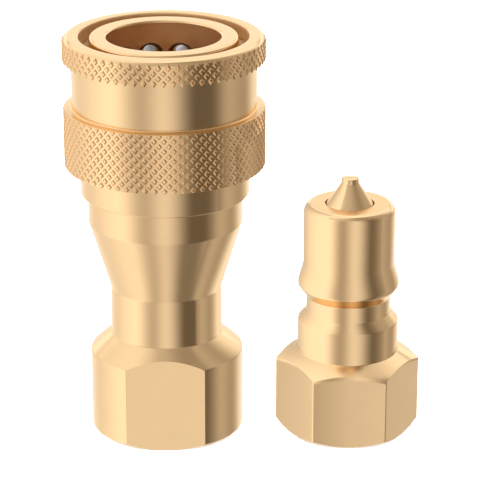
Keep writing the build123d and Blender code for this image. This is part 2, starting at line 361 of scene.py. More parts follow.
@dataclass
class SocketBody:
    """The socket's front tube, with its mouth, ball holes, seal groove and valve seat."""

    node: str = "socket_body"
    face: float = 62.1
    outside: float = 11.0
    mouth: float = 8.2
    mouth_bottom: float = 52.9
    mouth_top: float = 58.7
    lead: float = 8.4
    lead_bottom: float = 60.4
    ring_floor: float = 10.05
    ring_bottom: float = 59.25
    ring_top: float = 59.75
    step: float = 52.62
    tail: float = 10.2
    tail_bottom: float = 41.5
    joint: float = 9.8
    joint_groove: float = 8.6
    joint_groove_bottom: float = 34.95
    joint_groove_top: float = 36.25
    bottom: float = 34.0
    chamber: float = 5.3
    seat_bottom: float = 38.11
    seat: float = 3.6
    seat_top: float = 41.0
    bore: float = 7.05
    bore_top: float = 51.0
    seal_groove: float = 9.2
    seal_groove_bottom: float = 46.0
    seal_groove_top: float = 49.95
    ball_height: float = 56.8
    ball_hole: float = 2.05
    ball_centre: float = 9.3456
    ball_count: int = 11
    sink_inner: float = 7.8
    sink_outer: float = 8.55
    sink_inner_radius: float = 2.12
    sink_outer_radius: float = 1.8
    cutter_reach: float = 4.0

    def ball_cutter(self, angle: float) -> Object:
        """One round-nosed cutter that sinks a ball hole from outside.

        Args:
            angle: the hole's direction about the axis, in degrees from +X.

        Returns:
            The cutter.
        """
        deselect_all()
        turn = math.radians(angle)
        outwards = Vector((math.cos(turn), math.sin(turn), 0.0))
        centre = outwards * self.ball_centre * MM
        centre.z = self.ball_height * MM
        bpy.ops.mesh.primitive_uv_sphere_add(
            segments=48,
            ring_count=24,
            radius=self.ball_hole * MM,
            location=centre,
            rotation=(0.0, math.pi / 2.0, turn),
        )
        cutter = settle("ball_cutter")
        open_mesh(cutter)
        limit = self.ball_centre * MM + SAME_PLACE / 2.0
        pick_points(cutter, lambda place: place.dot(outwards) > limit)
        bpy.ops.transform.translate(value=outwards * self.cutter_reach * MM)
        bpy.ops.object.mode_set(mode="OBJECT")
        return cutter

    def edge_cutter(self, angle: float) -> Object:
        """One conical cutter that breaks the edge of a ball hole in the bore.

        Args:
            angle: the hole's direction about the axis, in degrees from +X.

        Returns:
            The cutter.
        """
        deselect_all()
        turn = math.radians(angle)
        middle = (self.sink_inner + self.sink_outer) / 2.0 * MM
        bpy.ops.mesh.primitive_cone_add(
            vertices=40,
            radius1=self.sink_inner_radius * MM,
            radius2=self.sink_outer_radius * MM,
            depth=(self.sink_outer - self.sink_inner) * MM,
            location=(middle * math.cos(turn), middle * math.sin(turn), self.ball_height * MM),
            rotation=(0.0, math.pi / 2.0, turn),
        )
        return settle("edge_cutter")

    def build(self) -> Object:
        """Turns the body and sinks its ball holes.

        Returns:
            The finished body.
        """
        corners = [
            Corner(self.lead, self.face, 0.4, 5),
            Corner(self.outside, self.face, 0.45, 5),
            Corner(self.outside, self.ring_top, 0.05, 1),
            Corner(self.ring_floor, self.ring_top),
            Corner(self.ring_floor, self.ring_bottom),
            Corner(self.outside, self.ring_bottom),
            Corner(self.outside, self.step, 0.1, 1),
            Corner(self.tail, self.step),
            Corner(self.tail, self.tail_bottom),
            Corner(self.joint, self.tail_bottom),
            Corner(self.joint, self.joint_groove_top),
            Corner(self.joint_groove, self.joint_groove_top),
            Corner(self.joint_groove, self.joint_groove_bottom),
            Corner(self.joint, self.joint_groove_bottom),
            Corner(self.joint, self.bottom, 0.1, 1),
            Corner(self.chamber, self.bottom),
            Corner(self.chamber, self.seat_bottom),
            Corner(self.seat, self.seat_top, 0.1, 2),
            Corner(self.bore, self.seat_top),
            Corner(self.bore, self.seal_groove_bottom, 0.08, 2),
            Corner(self.seal_groove, self.seal_groove_bottom),
            Corner(self.seal_groove, self.seal_groove_top),
            Corner(self.bore, self.seal_groove_top, 0.08, 2),
            Corner(self.bore, self.bore_top, 0.15, 3),
            Corner(self.mouth, self.mouth_bottom),
            Corner(self.mouth, self.mouth_top),
            Corner(self.lead, self.lead_bottom),
        ]
        piece = turn_section("front_tube", SOCKET_AXIS, corners, steps=144)
        pitch = 360.0 / self.ball_count
        for number in range(self.ball_count):
            angle = 90.0 + (number + 0.5) * pitch
            combine(piece, self.ball_cutter(angle), Cut.AWAY)
            combine(piece, self.edge_cutter(angle), Cut.AWAY)
        smooth(piece)
        return piece


@dataclass
class Knurl:
    """The small raised diamonds of the sleeve's two bands."""

    around: int = 67
    row_pitch: float = 0.75
    half_width: float = 0.47
    half_height: float = 0.52
    rise: float = 0.14
    top_share: float = 0.48
    sunk: float = 0.06

    def rows(self, name: str, ground: float, first: float, count: int) -> Object:
        """One diamond, copied round the sleeve and down its band.

        Args:
            name: the object's name.
            ground: the radius of the surface that the diamonds stand on.
            first: the height of the top row's middle.
            count: how many rows there are.

        Returns:
            The diamonds as one object.
        """
        deselect_all()
        foot = (self.rise + self.sunk) / self.rise
        share = self.top_share + (1.0 - self.top_share) * foot
        depth = self.rise + self.sunk
        bpy.ops.mesh.primitive_cone_add(
            vertices=4,
            radius1=share * MM,
            radius2=self.top_share * MM,
            depth=depth * MM,
            location=((ground + self.rise - depth / 2.0) * MM, 0.0, first * MM),
            rotation=(0.0, math.pi / 2.0, 0.0),
        )
        diamond = settle(name)
        open_mesh(diamond, "SELECT")
        bpy.ops.transform.resize(
            value=(1.0, self.half_width, self.half_height),
            center_override=(ground * MM, 0.0, first * MM),
        )
        bpy.ops.object.mode_set(mode="OBJECT")
        self.copy_by(diamond, -self.row_pitch, 180.0 / self.around, count)
        self.copy_by(diamond, 0.0, 360.0 / self.around, self.around)
        return diamond

    def copy_by(self, diamond: Object, rise: float, turn: float, count: int) -> None:
        """Copies the diamonds in even steps with an Array modifier.

        Args:
            diamond: what is copied.
            rise: how far up each step goes.
            turn: how far round each step goes, in degrees.
            count: how many there are in all.
        """
        deselect_all()
        bpy.ops.object.empty_add(location=(0.0, 0.0, rise * MM), rotation=(0.0, 0.0, math.radians(turn)))
        guide = bpy.context.object
        bpy.context.view_layer.update()
        modifier = diamond.modifiers.new("Steps", "ARRAY")
        modifier.use_relative_offset = False
        modifier.use_object_offset = True
        modifier.offset_object = guide
        modifier.count = count
        apply_modifier(diamond, modifier)
        bpy.data.objects.remove(guide, do_unlink=True)


@dataclass
class Sleeve:
    """The locking sleeve: two knurled bands, the waist between them and the skirt."""

    node: str = "sleeve"
    rim: float = 62.24
    band: float = 15.0
    waist: float = 13.72
    skirt: float = 12.63
    bore: float = 11.72
    waist_top: float = 58.68
    waist_bottom: float = 51.5
    skirt_top: float = 42.54
    skirt_bottom: float = 38.15
    land: float = 11.38
    release: float = 12.11
    recess: float = 12.51
    edge: float = 0.12
    land_bottom: float = 52.5
    land_top: float = 57.0
    release_bottom: float = 57.73
    release_top: float = 59.3
    upper_drop: float = 0.95
    upper_rows: int = 4
    lower_drop: float = 0.24
    lower_rows: int = 12
    knurl: Knurl = field(default_factory=Knurl)

    def build(self) -> Object:
        """Turns the sleeve and sets its knurl on it.

        Returns:
            The finished sleeve.
        """
        ground = self.band - self.knurl.rise
        corners = [
            Corner(self.recess, self.rim, 0.3, 4),
            Corner(ground, self.rim, 0.9, 6),
            Corner(ground, self.waist_top, self.edge, 2),
            Corner(self.waist, self.waist_top, 0.3, 3),
            Corner(self.waist, self.waist_bottom, 0.2, 4),
            Corner(ground, self.waist_bottom, self.edge, 2),
            Corner(ground, self.skirt_top, self.edge, 2),
            Corner(self.skirt, self.skirt_top),
            Corner(self.skirt, self.skirt_bottom, 0.2, 3),
            Corner(self.bore, self.skirt_bottom, 0.12, 2),
            Corner(self.bore, self.land_bottom),
            Corner(self.land, self.land_bottom),
            Corner(self.land, self.land_top),
            Corner(self.release, self.release_bottom),
            Corner(self.release, self.release_top),
            Corner(self.recess, self.release_top),
        ]
        piece = turn_section("grip", SOCKET_AXIS, corners, steps=160)
        smooth(piece)
        for diamonds in (self.upper_band(ground), self.lower_band(ground)):
            deselect_all()
            diamonds.select_set(True)
            piece.select_set(True)
            bpy.context.view_layer.objects.active = piece
            bpy.ops.object.join()
        return piece

    def upper_band(self, ground: float) -> Object:
        """The diamonds of the band at the rim, which stand on this radius."""
        return self.knurl.rows("upper_diamonds", ground, self.rim - self.upper_drop, self.upper_rows)

    def lower_band(self, ground: float) -> Object:
        """The diamonds of the lower band, whose top row the band's edge cuts."""
        first = self.waist_bottom - self.lower_drop
        diamonds = self.knurl.rows("lower_diamonds", ground, first, self.lower_rows)
        open_mesh(diamonds)
        for height, side in ((self.waist_bottom - self.edge, 1.0), (self.skirt_top + self.edge, -1.0)):
            bpy.ops.mesh.select_all(action="SELECT")
            bpy.ops.mesh.bisect(
                plane_co=(0.0, 0.0, height * MM),
                plane_no=(0.0, 0.0, side),
                use_fill=True,
                clear_outer=True,
            )
        bpy.ops.object.mode_set(mode="OBJECT")
        return diamonds


@dataclass
class PlugBody:
    """The plug in one turned piece: hexagon, collar, ball groove, crest and nose."""

    node: str = "plug_body"
    hex_width: float = 19.0
    hex_reach: float = 12.6
    hex_top: float = 11.0
    hex_face: float = 9.1
    collar: float = 7.65
    collar_bottom: float = 12.916
    collar_top: float = 17.7
    groove: float = 6.41
    groove_bottom: float = 19.2
    groove_top: float = 21.6
    crest: float = 7.69
    crest_bottom: float = 23.3
    crest_top: float = 24.0
    flare_top: float = 26.5
    nose: float = 6.92
    top: float = 36.2
    opening: float = 3.6
    chamber: float = 5.3
    slope: float = 0.57735
    hex_edge: float = 0.12
    edge: float = 0.12
    seat_drop: float = 2.89
    ring_floor: float = 5.9
    ring_bottom: float = 15.35
    ring_top: float = 16.2
    port_top: float = 12.0
    port_mouth: float = 6.6
    thread: Thread = field(default_factory=Thread)

    def hexagon(self) -> Object:
        """A six-sided prism with slightly broken edges.

        Returns:
            The prism.
        """
        deselect_all()
        bpy.ops.mesh.primitive_cylinder_add(
            vertices=6,
            radius=self.hex_width / math.sqrt(3.0) * MM,
            depth=60.0 * MM,
            location=(PLUG_AXIS * MM, 0.0, 20.0 * MM),
            rotation=(0.0, 0.0, math.radians(90.0)),
        )
        prism = settle("hexagon_cutter")
        open_mesh(prism, "SELECT")
        bpy.ops.mesh.bevel(offset=self.hex_edge * MM, segments=2, affect="EDGES")
        bpy.ops.object.mode_set(mode="OBJECT")
        return prism

    def build(self) -> Object:
        """Turns the plug and mills its hexagon.

        Returns:
            The finished plug.
        """
        corner = self.hex_width / math.sqrt(3.0)
        out = self.hex_reach
        shoulder = self.hex_top - (out - corner) * self.slope
        foot = (out - self.hex_face) * self.slope
        corners = [
            Corner(self.nose, self.flare_top, 0.5, 4),
            Corner(self.nose, self.top, 1.3, 8),
            Corner(self.opening, self.top, 0.2, 3),
            Corner(self.chamber, self.top - self.seat_drop),
            Corner(self.chamber, self.ring_top),
            Corner(self.ring_floor, self.ring_top),
            Corner(self.ring_floor, self.ring_bottom),
            Corner(self.chamber, self.ring_bottom),
            Corner(self.chamber, self.port_top),
            *self.thread.corners(self.port_top),
            Corner(self.port_mouth, 0.0, 0.1, 2),
            Corner(self.hex_face, 0.0, 0.1, 2),
            Corner(out, foot),
            Corner(out, shoulder),
            Corner(self.collar, self.collar_bottom, self.edge),
            Corner(self.collar, self.collar_top, self.edge),
            Corner(self.groove, self.groove_bottom, self.edge),
            Corner(self.groove, self.groove_top, self.edge),
            Corner(self.crest, self.crest_bottom, 0.3, 4),
            Corner(self.crest, self.crest_top, 0.9, 6),
        ]
        piece = turn_section("hexagon_plug", PLUG_AXIS, corners, steps=144)
        combine(piece, self.hexagon(), Cut.COMMON)
        smooth(piece)
        return piece


@dataclass
class Poppet:
    """A valve cone with its tip and stem."""

    node: str
    axis: float
    seat: float
    tip: float = 1.34
    tip_length: float = 0.75
    reach: float = 3.95
    shoulder: float = 3.42
    shoulder_rise: float = 0.07
    head: float = 4.4
    head_drop: float = 1.7
    head_length: float = 3.2
    stem: float = 1.5
    stem_length: float = 19.5
    seal_radius: float = 3.81
    seal_drop: float = 1.58
    seal_groove: float = 0.6

    def build(self) -> Object:
        """Turns the valve cone, with the groove that its seal lies in.

        Returns:
            The finished cone.
        """
        corners = [
            Corner(0.0, self.seat + self.reach),
            Corner(self.tip, self.seat + self.reach, 0.12, 3),
            Corner(self.tip, self.seat + self.reach - self.tip_length, 0.1, 2),
            Corner(self.shoulder, self.seat + self.shoulder_rise, 0.15, 2),
            Corner(self.head, self.seat - self.head_drop, 0.1, 2),
            Corner(self.head, self.seat - self.head_length, 0.15, 2),
            Corner(self.stem, self.seat - self.head_length, 0.2, 2),
            Corner(self.stem, self.seat - self.stem_length, 0.2, 2),
            Corner(0.0, self.seat - self.stem_length),
        ]
        piece = turn_section(self.node + "_turned", self.axis, corners, steps=96, closed=False)
        deselect_all()
        bpy.ops.mesh.primitive_torus_add(
            location=(self.axis * MM, 0.0, (self.seat - self.seal_drop) * MM),
            major_radius=self.seal_radius * MM,
            minor_radius=self.seal_groove * MM,
            major_segments=96,
            minor_segments=16,
        )
        combine(piece, settle("seal_cutter"), Cut.AWAY)
        smooth(piece)
        return piece


@dataclass
class CoilSpring:
    """A coil spring between two seats, pressed together by a joint."""

    node: str
    axis: float
    bottom: float
    length: float
    radius: float
    wire: float
    turns: int
    joint: str
    travel: float

    def build(self) -> Object:
        """Winds the spring.

        Returns:
            The finished spring.
        """
        deselect_all()
        bpy.ops.mesh.primitive_circle_add(
            vertices=12,
            radius=self.wire * MM,
            location=(self.radius * MM, 0.0, (self.bottom + self.wire) * MM),
            rotation=(math.pi / 2.0, 0.0, 0.0),
        )
        piece = settle(self.node + "_wound")
        modifier = piece.modifiers.new("Winding", "SCREW")
        modifier.axis = "Z"
        modifier.angle = 2.0 * math.pi
        modifier.screw_offset = (self.length - 2.0 * self.wire) / self.turns * MM
        modifier.iterations = self.turns
        modifier.steps = 32
        modifier.render_steps = 32
        apply_modifier(piece, modifier)
        take(piece)
        bpy.ops.transform.translate(value=(self.axis * MM, 0.0, 0.0))
        bpy.ops.object.transform_apply(location=True, rotation=True, scale=True)
        open_mesh(piece, "SELECT")
        bpy.ops.mesh.fill_holes(sides=0)
        close_mesh()
        smooth(piece, 50.0)
        return piece

    def press(self, piece: Object) -> None:
        """Gives the finished spring a mesh of its own."""
        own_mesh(piece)


@dataclass(frozen=True)
class Finish:
    """How a material looks."""

    colour: tuple[float, float, float]
    metallic: float
    roughness: float
    axis: float = SOCKET_AXIS
    mark_spacing: float = 0.05
    mark_depth: float = 0.0004
    tone: float = 0.03
    edge: tuple[float, float, float] = (1.0, 1.0, 1.0)


BRASS = Finish((0.90, 0.62, 0.34), 1.0, 0.12, edge=(1.0, 0.95, 0.86))
FINISHES = {
    "socket_brass": BRASS,
    "plug_brass": replace(BRASS, axis=PLUG_AXIS),
    # Painted shade: the bore inside the mouth takes a darker, redder copy of the brass colour. Its rougher,
    # deeper turning marks are the bore's own.
    "shaded_bore_brass": replace(BRASS, colour=(0.78, 0.45, 0.21), roughness=0.42, mark_depth=0.0008),
    "faced_brass": replace(BRASS, roughness=0.22),
    "faced_plug_brass": replace(BRASS, roughness=0.36, axis=PLUG_AXIS),
    # Painted light: the sleeve's inner recess takes a lighter copy of the brass colour.
    "lit_recess_brass": replace(BRASS, colour=(1.0, 0.7, 0.4), roughness=0.5),
    "sleeve_brass": BRASS,
    # Painted shade: the knurl diamonds' flanks take a darker, redder copy of the brass colour. It stands in
    # for the shade and the brass-on-brass reflection between the diamonds.
    "shaded_knurl_flank_brass": replace(BRASS, colour=(0.78, 0.46, 0.22)),
    "ball_steel": Finish((0.50, 0.50, 0.51), 1.0, 0.1, tone=0.01),
    # Painted reflection: the spring steel's grey is warmed towards the brass that it mirrors. The metal and
    # its roughness are the steel's own.
    "spring_steel": Finish((0.6, 0.5, 0.38), 1.0, 0.3),
    "seal_rubber": Finish((0.02, 0.02, 0.02), 0.0, 0.55),
    "backup_plastic": Finish((0.85, 0.84, 0.78), 0.0, 0.45),
}
SLOT_FINISHES = {
    Slot.BRASS.value: "socket_brass",
    Slot.KNURL.value: "sleeve_brass",
    Slot.BALL.value: "ball_steel",
    Slot.SPRING.value: "spring_steel",
    Slot.SEAL.value: "seal_rubber",
    Slot.BACKUP.value: "backup_plastic",
}


def feed(tree: NodeTree, value: object, goal: NodeSocket) -> None:
    """Links a socket to an input, or sets the input where a plain value is given.

    Args:
        tree: the tree that the input's node stands in.
        value: a socket or a plain value.
        goal: the input.
    """
    if isinstance(value, NodeSocket):
        tree.links.new(value, goal)
    else:
        goal.default_value = value


def math_node(
    tree: NodeTree, operation: str, first: object, second: object = 0.0
) -> NodeSocket:
    """A Math node whose inputs are sockets or numbers.

    Args:
        tree: the tree it stands in.
        operation: the node's operation.
        first: its first input.
        second: its second input.

    Returns:
        Its output.
    """
    node = tree.nodes.new("ShaderNodeMath")
    node.operation = operation
    feed(tree, first, node.inputs[0])
    feed(tree, second, node.inputs[1])
    return node.outputs[0]


def mix_colours(
    tree: NodeTree, share: object, first: object, second: object
) -> NodeSocket:
    """Mixes two colours, each a socket or a plain colour.

    Args:
        tree: the tree it stands in.
        share: how much of the second is taken.
        first: the first colour.
        second: the second colour.

    Returns:
        The mixed colour.
    """
    node = tree.nodes.new("ShaderNodeMix")
    node.data_type = "RGBA"
    feed(tree, share, node.inputs["Factor"])
    feed(tree, first, node.inputs["A"])
    feed(tree, second, node.inputs["B"])
    return node.outputs["Result"]


def mix_shaders(
    tree: NodeTree, share: NodeSocket, first: Node, second: Node
) -> NodeSocket:
    """Mixes the shaders of two nodes.

    Args:
        tree: the tree they stand in.
        share: how much of the second is taken.
        first: the first shader's node.
        second: the second shader's node.

    Returns:
        The mixed shader.
    """
    node = tree.nodes.new("ShaderNodeMixShader")
    tree.links.new(share, node.inputs[0])
    tree.links.new(first.outputs[0], node.inputs[1])
    tree.links.new(second.outputs[0], node.inputs[2])
    return node.outputs[0]


def soft_step(
    tree: NodeTree, value: NodeSocket, start: float, full: float, top: float = 1.0
) -> NodeSocket:
    """A soft rise from nothing.

    Args:
        tree: the tree it stands in.
        value: what it goes by.
        start: the value at which it starts.
        full: the value at which it is full.
        top: how high it rises.

    Returns:
        The rise.
    """
    node = tree.nodes.new("ShaderNodeMapRange")
    node.interpolation_type = "SMOOTHSTEP"
    node.inputs["From Min"].default_value = start
    node.inputs["From Max"].default_value = full
    node.inputs["To Max"].default_value = top
    tree.links.new(value, node.inputs["Value"])
    return node.outputs[0]


def place_parts(tree: NodeTree, kind: str) -> bpy.types.bpy_prop_collection:
    """The X, Y and Z of a texture coordinate.

    Args:
        tree: the tree it stands in.
        kind: which coordinate is read.

    Returns:
        The three outputs.
    """
    place = tree.nodes.new("ShaderNodeTexCoord")
    parts = tree.nodes.new("ShaderNodeSeparateXYZ")
    tree.links.new(place.outputs[kind], parts.inputs[0])
    return parts.outputs


def direction(
    tree: NodeTree, beside: NodeSocket, behind: NodeSocket
) -> NodeSocket:
    """The direction about an upright axis: 0 to 1 once round, with the front at 0.5.

    Args:
        tree: the tree it stands in.
        beside: how far to the right a place lies.
        behind: how far back it lies.

    Returns:
        The direction.
    """
    away = math_node(tree, "MULTIPLY", behind, -1.0)
    turn = math_node(tree, "ARCTAN2", beside, away)
    turn = math_node(tree, "DIVIDE", turn, 2.0 * math.pi)
    return math_node(tree, "ADD", turn, 0.5)


class FinishShop:
    """Builds the node groups that the finishes share, and the finishes."""

    rough_spread: float = 0.06

    def __init__(self) -> None:
        """Builds the shared node groups."""
        self.marks = self.turning_marks()
        self.cloud = self.soft_cloud()

    @staticmethod
    def group(
        name: str, inputs: Sequence[tuple[str, float]], output: str
    ) -> tuple[NodeTree, Node, Node]:
        """Starts a node group.

        Args:
            name: the group's name.
            inputs: the name and value of each input.
            output: the output's name.

        Returns:
            The group, its input node and its output node.
        """
        made = bpy.data.node_groups.new(name, "ShaderNodeTree")
        for given, value in inputs:
            socket = made.interface.new_socket(name=given, in_out="INPUT", socket_type="NodeSocketFloat")
            socket.default_value = value
        made.interface.new_socket(name=output, in_out="OUTPUT", socket_type="NodeSocketFloat")
        return made, made.nodes.new("NodeGroupInput"), made.nodes.new("NodeGroupOutput")

    def turning_marks(self) -> NodeTree:
        """The fine rings that a tool leaves on a turned surface.

        Returns:
            The node group: its output is the height of the marks, from 0 to 1.
        """
        inputs = (("Axis X", 0.0), ("Spacing", 0.00005))
        group, given, result = self.group("turning_marks", inputs, "Height")
        parts = place_parts(group, "Object")
        beside = math_node(group, "SUBTRACT", parts["X"], given.outputs["Axis X"])
        squares = [
            math_node(group, "POWER", math_node(group, "ABSOLUTE", length), 2.0)
            for length in (beside, parts["Y"])
        ]
        radius = math_node(group, "SQRT", math_node(group, "ADD", *squares))
        along = math_node(group, "ADD", radius, parts["Z"])
        noise = group.nodes.new("ShaderNodeTexNoise")
        noise.noise_dimensions = "1D"
        noise.inputs["Scale"].default_value = 1.0
        noise.inputs["Detail"].default_value = 2.0
        feed(group, math_node(group, "DIVIDE", along, given.outputs["Spacing"]), noise.inputs["W"])
        feed(group, noise.outputs[0], result.inputs["Height"])
        return group

    def soft_cloud(self) -> NodeTree:
        """A soft cloudy mask, for slight changes of tone from handling.

        Returns:
            The node group: its output is the mask, from 0 to 1.
        """
        group, given, result = self.group("soft_cloud", (("Scale", 300.0),), "Mask")
        place = group.nodes.new("ShaderNodeTexCoord")
        noise = group.nodes.new("ShaderNodeTexNoise")
        noise.inputs["Detail"].default_value = 3.0
        feed(group, place.outputs["Object"], noise.inputs["Vector"])
        feed(group, given.outputs["Scale"], noise.inputs["Scale"])
        feed(group, noise.outputs[0], result.inputs["Mask"])
        return group

    def make(self, name: str, finish: Finish) -> Material:
        """Builds one material.

        Args:
            name: the material's name.
            finish: how it looks.

        Returns:
            The material.
        """
        material = bpy.data.materials.new(name)
        material.use_nodes = True
        tree = material.node_tree
        shader = tree.nodes["Principled BSDF"]
        shader.inputs["Metallic"].default_value = finish.metallic
        shader.inputs["Specular Tint"].default_value = (*finish.edge, 1.0)
        marks = tree.nodes.new("ShaderNodeGroup")
        marks.node_tree = self.marks
        marks.inputs["Axis X"].default_value = finish.axis * MM
        marks.inputs["Spacing"].default_value = finish.mark_spacing * MM
        cloud = tree.nodes.new("ShaderNodeGroup")
        cloud.node_tree = self.cloud
        darker = tuple(part * (1.0 - 2.0 * finish.tone) for part in finish.colour)
        shade = mix_colours(tree, cloud.outputs["Mask"], (*finish.colour, 1.0), (*darker, 1.0))
        feed(tree, shade, shader.inputs["Base Color"])
        rough = math_node(tree, "MULTIPLY", marks.outputs["Height"], self.rough_spread)
        rough = math_node(tree, "ADD", rough, finish.roughness)
        feed(tree, rough, shader.inputs["Roughness"])
        bump = tree.nodes.new("ShaderNodeBump")
        bump.inputs["Strength"].default_value = 1.0
        bump.inputs["Distance"].default_value = finish.mark_depth * MM
        feed(tree, marks.outputs["Height"], bump.inputs["Height"])
        feed(tree, bump.outputs["Normal"], shader.inputs["Normal"])
        return material


def dress(piece: Object, material: Material) -> None:
    """Gives an object one material in place of all it had."""
    piece.data.materials.clear()
    piece.data.materials.append(material)


def second_finish(
    piece: Object, material: Material, wanted: Callable[[Vector, Vector], bool]
) -> None:
    """Gives some faces of a dressed piece a further material.

    Args:
        piece: the object, which has a material.
        material: the further material.
        wanted: says of a face's middle and its normal whether it takes the further material.
    """
    piece.data.materials.append(material)
    index = len(piece.data.materials) - 1
    for face in piece.data.polygons:
        if wanted(face.center, face.normal):
            face.material_index = index


def across(place: Vector, normal: Vector) -> float:
    """How straight a face of the socket looks away from the axis: 1 outwards, -1 inwards."""
    return (place.x * normal.x + place.y * normal.y) / math.hypot(place.x, place.y)


@dataclass(frozen=True)
class Faces:
    """Some faces of a piece: heights and radii in millimetres, and how they look.

    Their normals point away from the axis by less than outwards, and up by more than upwards.
    """

    bottom: float = -1.0
    top: float = 100.0
    inner: float = 0.0
    outer: float = 100.0
    outwards: float = 2.0
    upwards: float = -2.0

    def hold(self, place: Vector, normal: Vector) -> bool:
        """Says whether a face with this middle and normal is one of them."""
        if not self.bottom * MM < place.z < self.top * MM or not normal.z > self.upwards:
            return False
        radius = math.hypot(place.x, place.y)
        return self.inner * MM <= radius < self.outer * MM and across(place, normal) < self.outwards


KNURL_GROUND = Sleeve.band - Knurl.rise + 0.01
# Second materials by faces. The shaded bore and the shaded knurl flanks are painted shade, and the lit
# recess is painted light. The faced brass differs only in roughness.
TOUCHES = (
    ("socket_body", "shaded_bore_brass", Faces(bottom=51.5, top=61.6, outer=9.1, outwards=0.9)),
    ("socket_body", "faced_brass", Faces(bottom=62.0, upwards=0.98)),
    ("plug_body", "faced_plug_brass", Faces(bottom=36.0, upwards=0.98)),
    ("sleeve", "shaded_knurl_flank_brass", Faces(inner=KNURL_GROUND, outwards=0.96)),
    ("sleeve", "lit_recess_brass", Faces(bottom=57.0, outwards=-0.6)),
    ("sleeve", "faced_brass", Faces(bottom=62.2, upwards=0.98)),
)


class Passage(Enum):
    """How a ring of light passes from one stop to the next."""

    SOFT = "EASE"
    STRAIGHT = "LINEAR"


@dataclass(frozen=True)
class Ring:
    """Light by direction: stops in degrees from the front to the right, with their brightness."""

    passage: Passage
    stops: tuple[tuple[float, float], ...]


@dataclass(frozen=True)
class Zone:
    """The part of a round card that glows: heights in millimetres, directions in degrees."""

    low: float
    high: float
    start: float
    stop: float
    light: Ring


@dataclass(frozen=True)
class Shell:
    """A round card about an upright axis, in millimetres, that glows in its zones and is clear elsewhere."""

    name: str
    axis: float
    radius: float
    zones: tuple[Zone, ...]


# Each ring has the turning points of the light and dark that the photographed brass mirrors,
# which were measured in the photograph, with soft or straight passages between them.
TENT = Ring(
    Passage.SOFT,
    (
        (-180, 1.1), (-152, 1.12), (-128, 1.0), (-67, 1.34), (-27, 0.62), (0, 0.97),
        (41, 0.14), (60, 0.145), (89, 0.54), (117, 0.43), (152, 1.1), (180, 1.15),
    ),
)
TENT_TOP = Ring(
    Passage.SOFT,
    (
        (-180, 1.3), (-145, 1.28), (-117, 1.08), (-88, 1.17), (-20, 0.66), (64, 0.36),
        (105, 0.5), (143, 1.29), (180, 1.32),
    ),
)
TENT_BACK = Ring(
    Passage.STRAIGHT,
    (
        (-180, 1.15), (20, 1.3), (36, 1.48), (50, 1.48), (54.5, 0.75), (66, 0.75),
        (71, 1.3), (110, 1.3), (180, 1.0),
    ),
)
PLUG_LIGHT = Ring(
    Passage.SOFT,
    (
        (-127, 0.77), (-60, 1.34), (-41, 1.37), (-14, 0.5), (8, 0.98), (38, 0.18),
        (66, 0.47),
    ),
)
HEXAGON_LIGHT = Ring(
    Passage.STRAIGHT,
    (
        (-134, 0.74), (-91, 0.78), (-46, 0.95), (-41, 1.35), (-30, 1.35), (-29, 0.57),
        (0, 0.79), (29, 0.87), (30, 0.25), (40, 0.25), (45, 0.68), (134, 0.8),
    ),
)
SOCKET_LIGHT = Ring(
    Passage.SOFT,
    (
        (38, 0.13), (60, 0.56), (77, 0.44), (109, 1.2),
    ),
)
SHELLS = (
    Shell("socket_card", SOCKET_AXIS, 15.8, (Zone(-40.0, 48.0, 48.0, 112.0, SOCKET_LIGHT),)),
    Shell(
        "plug_card",
        PLUG_AXIS,
        11.4,
        (
            Zone(-40.0, 10.4, -134.0, 134.0, HEXAGON_LIGHT),
            Zone(10.4, 40.0, -134.0, 60.0, PLUG_LIGHT),
            Zone(40.0, 60.0, -134.0, -48.0, PLUG_LIGHT),
        ),
    ),
)


